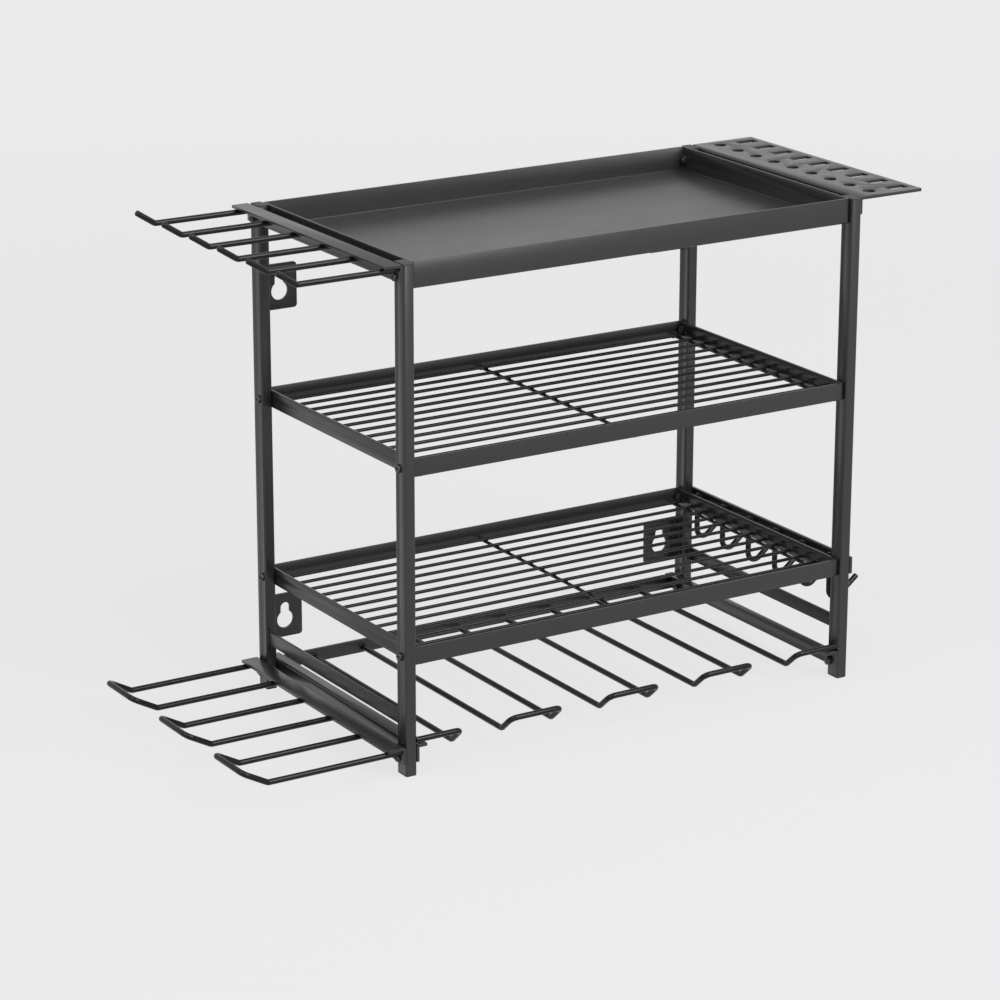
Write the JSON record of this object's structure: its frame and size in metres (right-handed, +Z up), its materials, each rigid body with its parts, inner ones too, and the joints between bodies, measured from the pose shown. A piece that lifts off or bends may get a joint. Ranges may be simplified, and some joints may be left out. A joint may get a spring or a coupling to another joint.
{
  "type": "wall tool organizer",
  "caption": "Black steel wall rack with a top tray, wire shelves, drill forks under and beside it, tool hooks, a screwdriver rack and wrench hooks.",
  "frame": {"origin": "middle of the rectangle of four keyholes that hang the rack, on the wall plane at the back of the keyhole plates", "axes": "+X along the wall to the right of someone who faces the rack, +Y into the wall, +Z up"},
  "size_m": [0.667, 0.2574, 0.4394],
  "materials": {
    "coated_sheet": "satin black powder coat on steel sheet and tube",
    "coated_wire": "semi-gloss black powder coat on steel rod",
    "black_plastic": "matte moulded plastic",
    "black_fasteners": "black zinc"
  },
  "bodies": {
    "root": {"post_front_left": "coated_sheet", "post_rear_left": "coated_sheet", "brace_left": "coated_sheet", "drill_rail_left": "coated_sheet", "wall_plate_lower_left": "coated_sheet", "wall_plate_upper_left": "coated_sheet", "post_front_right": "coated_sheet", "post_rear_right": "coated_sheet", "brace_right": "coated_sheet", "drill_rail_right": "coated_sheet", "wall_plate_lower_right": "coated_sheet", "wall_plate_upper_right": "coated_sheet", "top_tray": "coated_sheet", "middle_shelf_frame": "coated_sheet", "bottom_shelf_frame": "coated_sheet", "hook_rail": "coated_sheet", "screwdriver_rack": "coated_sheet", "wrench_rail": "coated_sheet", "drill_rail_rear": "coated_sheet", "side_drill_rail": "coated_sheet", "middle_shelf_wires": "coated_wire", "middle_shelf_cross_wires": "coated_wire", "bottom_shelf_wires": "coated_wire", "bottom_shelf_cross_wires": "coated_wire", "hook_1": "coated_wire", "hook_2": "coated_wire", "hook_3": "coated_wire", "hook_4": "coated_wire", "hook_5": "coated_wire", "hook_6": "coated_wire", "wrench_hook_1": "coated_wire", "wrench_hook_2": "coated_wire", "wrench_hook_3": "coated_wire", "wrench_hook_4": "coated_wire", "wrench_hook_5": "coated_wire", "wrench_hook_6": "coated_wire", "drill_fork_1": "coated_wire", "drill_fork_2": "coated_wire", "drill_fork_3": "coated_wire", "drill_fork_4": "coated_wire", "drill_fork_5": "coated_wire", "side_drill_fork_1": "coated_wire", "side_drill_fork_2": "coated_wire", "side_drill_fork_3": "coated_wire", "post_plugs_top": "black_plastic", "post_plugs_bottom": "black_plastic", "top_tray_screws": "black_fasteners", "middle_shelf_screws": "black_fasteners", "bottom_shelf_screws": "black_fasteners", "drill_rail_screws": "black_fasteners", "top_tray_nuts": "black_fasteners", "middle_shelf_nuts": "black_fasteners", "bottom_shelf_nuts": "black_fasteners", "drill_rail_nuts": "black_fasteners"}
  },
  "joints": []
}
